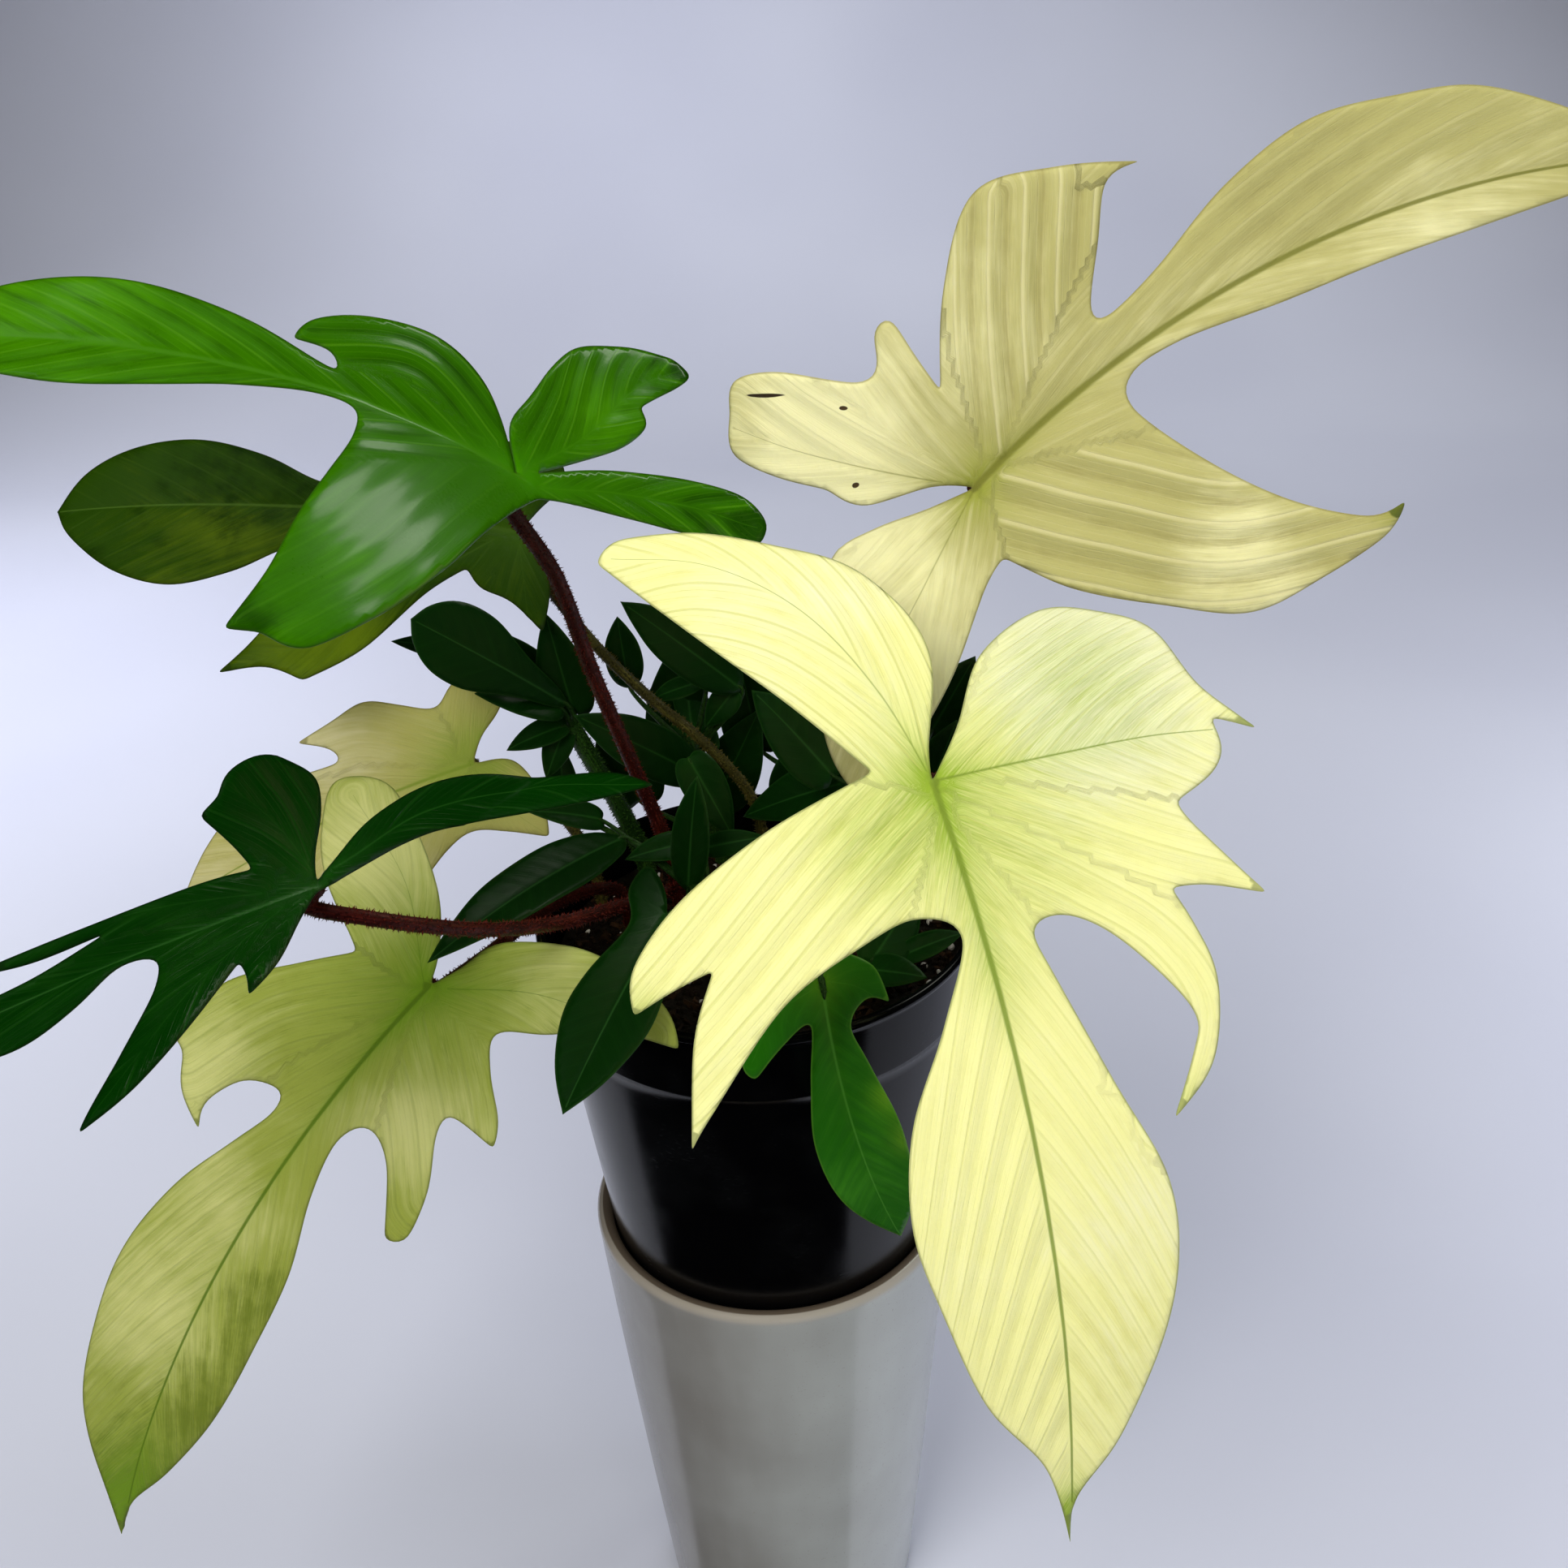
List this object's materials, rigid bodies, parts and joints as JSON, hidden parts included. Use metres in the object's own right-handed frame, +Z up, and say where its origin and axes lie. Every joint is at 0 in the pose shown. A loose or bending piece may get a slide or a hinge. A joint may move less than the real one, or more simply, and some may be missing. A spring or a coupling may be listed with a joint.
{
  "type": "potted florida ghost philodendron",
  "caption": "Split-leaved climbing aroid with cream, lime and green blades on reddish stalks, in a black nursery pot that stands in a tall tapered glazed cover pot.",
  "frame": {"origin": "centre of the cover pot's flat underside", "axes": "+Z up, +X to the right and -Y towards the viewer of the picture"},
  "size_m": [0.4499, 0.2922, 0.5424],
  "materials": {
    "outer_pot": "glossy warm grey glaze",
    "nursery_pot": "glossy black",
    "potting_soil": "dark crumbly mix",
    "blade_front_cream": "satin light yellow blade with light green veins",
    "stalk_front_cream": "maroon, covered in short bristles",
    "blade_right_cream": "satin khaki and cream blade",
    "stalk_right_cream": "maroon, covered in short bristles",
    "blade_left_green": "glossy bright green blade",
    "stalk_left_green": "dark maroon, covered in short bristles",
    "blade_back_olive": "glossy olive blade",
    "stalk_back_olive": "olive brown, covered in short bristles",
    "blade_left_dark": "glossy dark green blade",
    "stalk_left_dark": "dark maroon, covered in short bristles",
    "blade_low_lime": "satin mottled yellow green blade",
    "stalk_low_lime": "maroon, covered in short bristles",
    "blade_rear_khaki": "satin tan blade",
    "stalk_rear_khaki": "olive brown, covered in short bristles",
    "young_shoot_left": "glossy dark green leaves",
    "young_shoot_middle": "glossy dark green leaves",
    "young_shoot_right": "glossy dark green leaves",
    "young_shoot_front": "glossy dark green leaves",
    "young_shoot_side": "glossy dark green leaves",
    "young_shoot_back": "glossy dark green leaves",
    "leaf_front_green": "glossy fresh green leaf"
  },
  "bodies": {
    "root": {"outer_pot": "outer_pot", "nursery_pot": "nursery_pot", "potting_soil": "potting_soil", "blade_front_cream": "blade_front_cream", "stalk_front_cream": "stalk_front_cream", "blade_right_cream": "blade_right_cream", "stalk_right_cream": "stalk_right_cream", "blade_left_green": "blade_left_green", "stalk_left_green": "stalk_left_green", "blade_back_olive": "blade_back_olive", "stalk_back_olive": "stalk_back_olive", "blade_left_dark": "blade_left_dark", "stalk_left_dark": "stalk_left_dark", "blade_low_lime": "blade_low_lime", "stalk_low_lime": "stalk_low_lime", "blade_rear_khaki": "blade_rear_khaki", "stalk_rear_khaki": "stalk_rear_khaki", "young_shoot_left": "young_shoot_left", "young_shoot_middle": "young_shoot_middle", "young_shoot_right": "young_shoot_right", "young_shoot_front": "young_shoot_front", "young_shoot_side": "young_shoot_side", "young_shoot_back": "young_shoot_back", "leaf_front_green": "leaf_front_green"}
  },
  "joints": []
}
